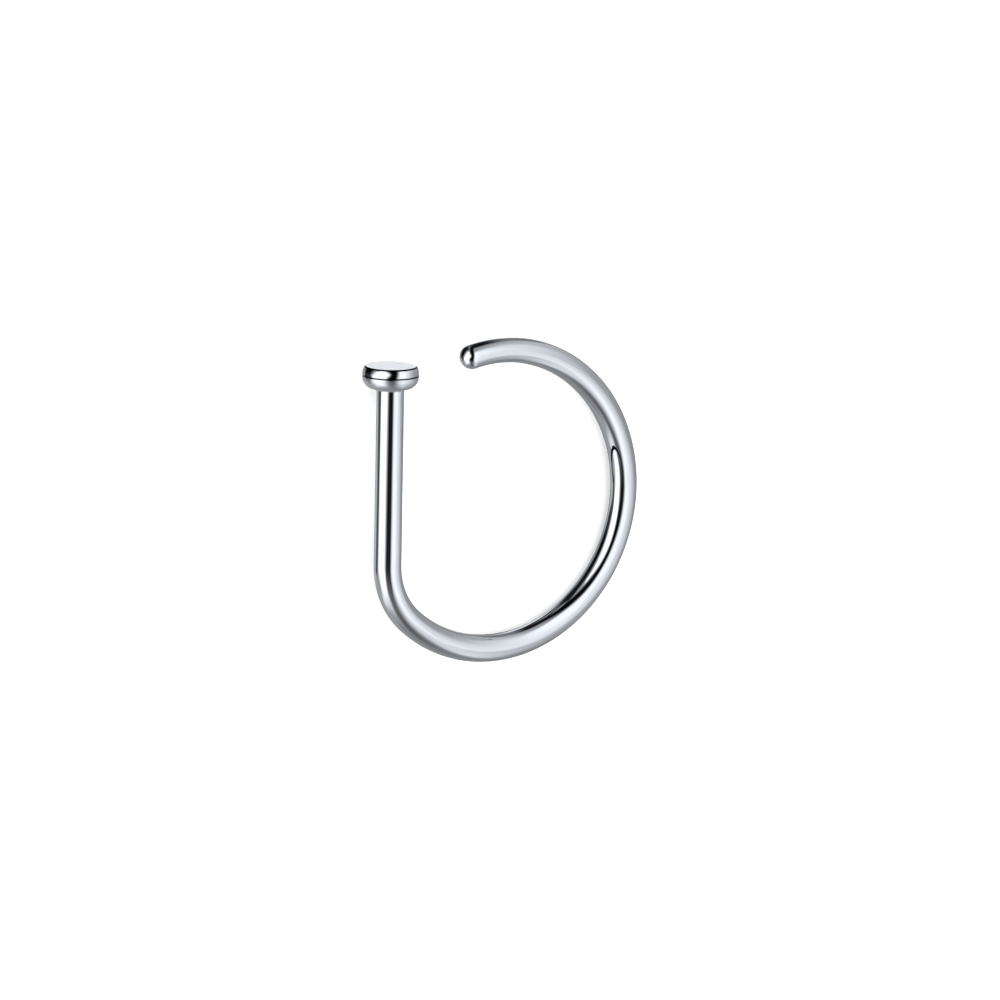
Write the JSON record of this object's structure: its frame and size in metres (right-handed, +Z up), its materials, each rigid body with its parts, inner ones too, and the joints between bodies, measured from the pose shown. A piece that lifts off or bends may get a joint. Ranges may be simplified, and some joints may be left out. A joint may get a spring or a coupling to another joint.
{
  "type": "nose ring",
  "caption": "Open D-shaped nose hoop of round polished steel wire: a straight post under a flat round head, a bend and a circular arc to a rounded free end.",
  "frame": {"origin": "on the surface that the hoop lies on, below the centre of its bounding box", "axes": "+Z up from that surface, square to the loop but for the 2.4 degrees that it leans between its head and its wire; +Y up the post towards the head; +X across the loop, from the post towards the arc"},
  "size_m": [0.0094, 0.0096, 0.0016],
  "materials": {
    "polished_steel": "mirror polished all over, satin round the side of the head"
  },
  "bodies": {
    "root": {"nose_hoop": "polished_steel"}
  },
  "joints": []
}
